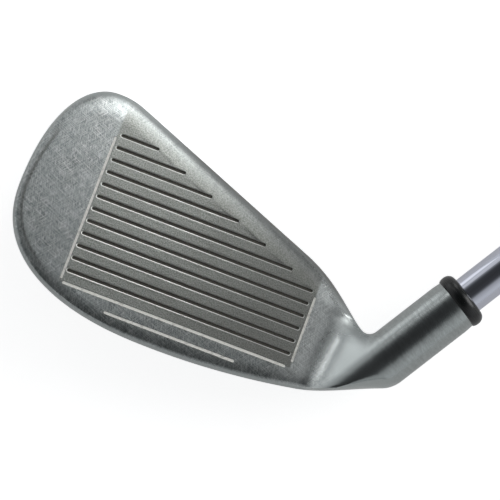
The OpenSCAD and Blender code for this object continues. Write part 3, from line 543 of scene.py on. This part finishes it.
# head: the casting welded and shaded smooth round its flat face, with the bare scorelines' lips worn round
head = {"weld": 0.004, "sharp": 32, "flat": 0.002, "lineDepth": 0.45, "depthSlack": 0.1, "wallLean": 0.2,
        "bottomLean": 0.99, "skin": 0.01, "linesFrom": (-72, 4), "linesTo": (-8, 52)}
lips = {"first": 11.82, "pitch": 3.46, "count": 12, "width": 0.8, "toe": -69.5, "heel": -11.3,
        "topHeel": -59.38, "heelStep": 8.31, "round": 0.26, "steps": 4, "inside": 0.004, "over": 0.4,
        "turns": 16, "weld": 0.001, "middle": 0.01}
steelFace, steelGroove, steelLip = 0, 1, 2  # material slots of the head
headSteels = (satinSteel, mottled["grimyGroove"], mottled["wornLipsPaintedHighlight"])
bm = bmesh.new()
bm.from_mesh(nodes["club_head"].data)
bmesh.ops.remove_doubles(bm, verts=bm.verts, dist=head["weld"] * mm)
bmesh.ops.dissolve_degenerate(bm, dist=head["weld"] * mm, edges=bm.edges)


def isGroove(face):
    spot = facePoint(face.calc_center_bounds())
    within = all(head["linesFrom"][i] < spot[i] < head["linesTo"][i] for i in (0, 1))
    lean = abs(face.normal.dot(faceDir))
    isWall = lean < head["wallLean"] and spot[2] < -head["skin"]
    isBottom = lean > head["bottomLean"] and spot[2] < -head["lineDepth"] * (1 - head["depthSlack"])
    return within and spot[2] > -head["lineDepth"] * (1 + head["depthSlack"]) and (isWall or isBottom)


for face in bm.faces:
    face.material_index = steelGroove if isGroove(face) else steelFace
roughMesh = bpy.data.meshes.new("roughHead")
bm.to_mesh(roughMesh)
bm.free()

# one plug per bare scoreline takes the sharp edge off its lips
half = lips["width"] / 2
plug = [(0, -lips["round"]), (half - lips["inside"], -lips["round"])]
for step in range(1, lips["steps"] + 1):
    angle = 90 * step / lips["steps"]
    plug.append((half + lips["round"] * (1 - degCos(angle)),
                 lips["inside"] - lips["round"] * (1 - degSin(angle))))
plug += [(half + lips["round"], lips["over"]), (0, lips["over"])]
bm = bmesh.new()
for line in range(lips["count"]):
    up = lips["first"] + line * lips["pitch"]
    heel = min(lips["heel"], lips["topHeel"] + (lips["count"] - 1 - line) * lips["heelStep"])
    halfRun = (heel - lips["toe"] - lips["width"]) / 2
    turned = bmesh.new()
    start = math.pi / lips["turns"]
    verts = [turned.verts.new((r * math.cos(start), r * math.sin(start), z)) for r, z in plug]
    edges = [turned.edges.new(pair) for pair in zip(verts, verts[1:])]
    bmesh.ops.spin(turned, geom=verts + edges, cent=(0, 0, 0), axis=(0, 0, 1), dvec=(0, 0, 0),
                   angle=math.tau, steps=lips["turns"], use_merge=True, use_duplicate=False)
    bmesh.ops.remove_doubles(turned, verts=turned.verts, dist=lips["weld"])
    bmesh.ops.recalc_face_normals(turned, faces=turned.faces)
    for vert in turned.verts:  # the round plug is pulled out to the line's length
        side = 0 if abs(vert.co.x) < lips["middle"] else math.copysign(halfRun, vert.co.x)
        local = Vector(((heel + lips["toe"]) / 2 + vert.co.x + side, up + vert.co.y, vert.co.z))
        vert.co = faceFoot + faceAxes.transposed() @ local * mm
    for face in turned.faces:
        face.material_index = steelLip
    held = bpy.data.meshes.new("plugHeld")
    turned.to_mesh(held)
    turned.free()
    bm.from_mesh(held)
    bpy.data.meshes.remove(held)
bmesh.ops.recalc_face_normals(bm, faces=bm.faces)
plugMesh = bpy.data.meshes.new("lipPlugs")
bm.to_mesh(plugMesh)
bm.free()
roughHead = bpy.data.objects.new("roughHead", roughMesh)
lipPlugs = bpy.data.objects.new("lipPlugs", plugMesh)
for obj in (roughHead, lipPlugs):
    scene.collection.objects.link(obj)
    for material in headSteels:
        obj.data.materials.append(material)
cut = roughHead.modifiers.new("wornLips", "BOOLEAN")
cut.operation = "DIFFERENCE"
cut.solver = "EXACT"
cut.material_mode = "TRANSFER"
cut.object = lipPlugs
wornMesh = bpy.data.meshes.new_from_object(roughHead.evaluated_get(bpy.context.evaluated_depsgraph_get()))
bm = bmesh.new()
bm.from_mesh(wornMesh)
for obj in (roughHead, lipPlugs):
    bpy.data.objects.remove(obj)
for mesh in (wornMesh, roughMesh, plugMesh):
    bpy.data.meshes.remove(mesh)
bmesh.ops.dissolve_degenerate(bm, dist=head["weld"] * mm, edges=bm.edges)
print("lips worn:", len([face for face in bm.faces if face.material_index == steelLip]), "faces, open edges:",
      len([edge for edge in bm.edges if not edge.is_manifold]))
casting = linkPiece("headCasting", bm, headSteels[steelFace], head["sharp"])
for material in headSteels[1:]:
    casting.data.materials.append(material)
for polygon in casting.data.polygons:
    corners = [casting.data.vertices[i].co for i in polygon.vertices]
    polygon.use_smooth = not all(abs(facePoint(corner)[2]) < head["flat"] for corner in corners)
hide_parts("club_head")
weighted = casting.modifiers.new("weightedNormals", "WEIGHTED_NORMAL")
weighted.keep_sharp = True
print("head:", len(casting.data.polygons), "faces")


turnedWeld = 0.0005  # mm


def spun(profile, segments):
    bm = bmesh.new()
    verts = [bm.verts.new(groundPoint + (shaftDir * h + acrossDir * r) * mm) for r, h in profile]
    edges = [bm.edges.new((a, b)) for a, b in zip(verts, verts[1:] + verts[:1])]
    bmesh.ops.spin(bm, geom=verts + edges, cent=groundPoint, axis=shaftDir, dvec=(0, 0, 0),
                   angle=math.tau, steps=segments, use_merge=True, use_duplicate=False)
    bmesh.ops.remove_doubles(bm, verts=bm.verts, dist=turnedWeld * mm)
    bmesh.ops.recalc_face_normals(bm, faces=bm.faces)
    return bm


def supported(points, gap):
    held = []
    for before, point, after in zip([None] + points[:-1], points, points[1:] + [None]):
        near = Vector(point)
        if before:
            held.append(tuple(near + (Vector(before) - near).normalized() * gap))
        held.append(point)
        if after:
            held.append(tuple(near + (Vector(after) - near).normalized() * gap))
    return held


# shaft: a drawn tube that widens in thirteen short steps
tube = {"tipR": 4.7, "buttR": 7.62, "tipWall": 0.62, "buttWall": 0.36, "from": 19.5, "to": 985.5,
        "steps": 13, "pitch": 44.45, "taper": 1.6, "lastStep": 709, "segments": 96, "sharp": 40,
        "support": 0.15}
outer = [(tube["tipR"], tube["from"])]
for i in range(1, tube["steps"] + 1):
    height = tube["lastStep"] - (tube["steps"] - i) * tube["pitch"]
    outer.append((mix(tube["tipR"], tube["buttR"], (i - 1) / tube["steps"]), height - tube["taper"]))
    outer.append((mix(tube["tipR"], tube["buttR"], i / tube["steps"]), height))
outer.append((tube["buttR"], tube["to"]))
outer = supported(outer, tube["support"])
inner = [(r - mix(tube["tipWall"], tube["buttWall"], (h - tube["from"]) / (tube["to"] - tube["from"])), h)
         for r, h in reversed(outer)]
shaftTube = linkPiece("shaftTube", spun(outer + inner, tube["segments"]), chrome, tube["sharp"])
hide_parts("shaft")
print("shaft:", len(shaftTube.data.polygons), "faces")

# ferrule: a turned bead that swells from the hosel's top and rounds over to the shaft
bead = {"bore": 4.73, "foot": 6.55, "bulge": 7.1, "from": 43, "length": 3.6, "swell": 0.42, "lip": 0.6,
        "steps": 14, "segments": 96, "sharp": 40}
swell = bead["length"] * bead["swell"]
crown = bead["bulge"] - bead["bore"] - bead["lip"]
quarter = [90 * i / bead["steps"] for i in range(bead["steps"] + 1)]
profile = [(bead["bore"], bead["from"])]
profile += [(mix(bead["foot"], bead["bulge"], degSin(a)),
             bead["from"] + swell * (1 - degCos(a))) for a in quarter]
profile += [(bead["bulge"] - crown * (1 - degCos(a)),
             bead["from"] + swell + (bead["length"] - swell) * degSin(a)) for a in quarter[1:]]
profile.append((bead["bore"], bead["from"] + bead["length"]))
ferruleBead = linkPiece("ferruleBead", spun(profile, bead["segments"]), blackPlastic, bead["sharp"])
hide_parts("ferrule")
print("ferrule:", len(ferruleBead.data.polygons), "faces")

# grip: a tapered rubber sleeve with ring grooves and a moulded diamond tread between them
sleeve = {"length": 267, "bore": 7.82, "mouthR": 9, "lowerHandR": 10.1, "upperHandR": 11.7, "capR": 13.5,
          "lowerHand": 152, "upperHand": 50, "capT": 4.5, "lip": 9, "ringPitch": 12, "ringDepth": 0.5,
          "ringW": 1.2, "ringFloor": 0.15, "ringEnd": 1, "mouthRound": 0.6, "mouthTurns": (0, 30, 60),
          "axialStep": 0.7, "segments": 144, "sharp": 50, "skin": 0.5,
          "tread": {"around": 18, "along": 4, "depth": 0.22, "fade": 2.5, "valley": 0.45}}
mouth = club["length"] - sleeve["length"]
lastRing = club["length"] - sleeve["upperHand"]


def smoothStep(t):
    t = min(1, max(0, t))
    return t * t * t * (t * (6 * t - 15) + 10)


def sleeveRadius(h):
    down = club["length"] - h
    if down < sleeve["upperHand"]:
        return mix(sleeve["capR"], sleeve["upperHandR"], smoothStep(down / sleeve["upperHand"]))
    if down < sleeve["lowerHand"]:
        share = (down - sleeve["upperHand"]) / (sleeve["lowerHand"] - sleeve["upperHand"])
        return mix(sleeve["upperHandR"], sleeve["lowerHandR"], share)
    share = (down - sleeve["lowerHand"]) / (sleeve["length"] - sleeve["lowerHand"])
    return mix(sleeve["lowerHandR"], sleeve["mouthR"], share)


def ringShare(h):
    pitch, floorHalf = sleeve["ringPitch"], sleeve["ringFloor"]
    near = (h - mouth - sleeve["lip"] + pitch / 2) % pitch - pitch / 2
    if not mouth + sleeve["lip"] - sleeve["ringEnd"] < h < lastRing + sleeve["ringEnd"]:
        return 0
    return 1 - smoothStep((abs(near) - floorHalf) / (sleeve["ringW"] / 2 - floorHalf))


def treadDepth(h, around):
    tread = sleeve["tread"]
    ends = min(h - mouth - sleeve["lip"], lastRing - h) / tread["fade"]
    near = (h - mouth - sleeve["lip"]) % sleeve["ringPitch"]
    rings = min(near, sleeve["ringPitch"] - near) / tread["fade"]
    a = tread["around"] * around / math.tau
    b = (h - mouth) / tread["along"]
    valley = min(abs(math.sin(math.pi * (b + a))), abs(math.sin(math.pi * (b - a))))
    return tread["depth"] * (1 - smoothStep(valley / tread["valley"])) * smoothStep(min(ends, rings))


buttEnd = club["length"] - sleeve["capT"]
heights = [mouth + sleeve["mouthRound"] + i * sleeve["axialStep"]
           for i in range(int((buttEnd - mouth - sleeve["mouthRound"]) / sleeve["axialStep"]) + 1)]
profile = [(sleeve["bore"], mouth)]
profile += [(sleeveRadius(mouth) - sleeve["mouthRound"] * (1 - degSin(a)),
             mouth + sleeve["mouthRound"] * (1 - degCos(a))) for a in sleeve["mouthTurns"]]
profile += [(sleeveRadius(h) - sleeve["ringDepth"] * ringShare(h), h) for h in heights]
profile += [(sleeve["capR"], buttEnd), (sleeve["bore"], buttEnd)]
bm = spun(profile, sleeve["segments"])
for vert in bm.verts:
    spot = shaftAxes @ (vert.co - groundPoint) / mm
    radius = math.hypot(spot[1], spot[2])
    if radius > sleeve["bore"] + sleeve["skin"]:
        depth = treadDepth(spot[0], math.atan2(spot[2], spot[1]))
        out = acrossDir * spot[1] / radius + shaftDir.cross(acrossDir) * spot[2] / radius
        vert.co -= out * depth * mm
gripSleeve = linkPiece("gripSleeve", bm, rubber, sleeve["sharp"])
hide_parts("grip")
print("grip:", len(gripSleeve.data.polygons), "faces")

# cap: closes the grip's end, with a rounded rim and the vent's softened mouth
cap = {"radius": 13.5, "thick": 4.5, "round": 1.4, "vent": 2, "ventRound": 0.3, "steps": 8, "segments": 96,
       "sharp": 40}
quarter = [90 * i / cap["steps"] for i in range(cap["steps"] + 1)]
profile = [(cap["vent"], buttEnd), (cap["radius"], buttEnd)]
profile += [(cap["radius"] - cap["round"] * (1 - degCos(a)),
             buttEnd + cap["thick"] - cap["round"] * (1 - degSin(a))) for a in quarter]
profile += [(cap["vent"] + cap["ventRound"] * (1 - degSin(a)),
             buttEnd + cap["thick"] - cap["ventRound"] * (1 - degCos(a))) for a in quarter]
gripCap = linkPiece("gripCap", spun(profile, cap["segments"]), rubber, cap["sharp"])
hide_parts("grip_cap")
print("cap:", len(gripCap.data.polygons), "faces")

# pieces whose CAD shape is right get their material only
for name, material in (("scoreline_paint", enamel), ("hosel_epoxy", mottled["curedEpoxy"]),
                       ("tip_weight", mottled["turnedBrass"]), ("grip_tape", mottled["paperTape"])):
    nodes[name].data.materials.clear()
    nodes[name].data.materials.append(material)
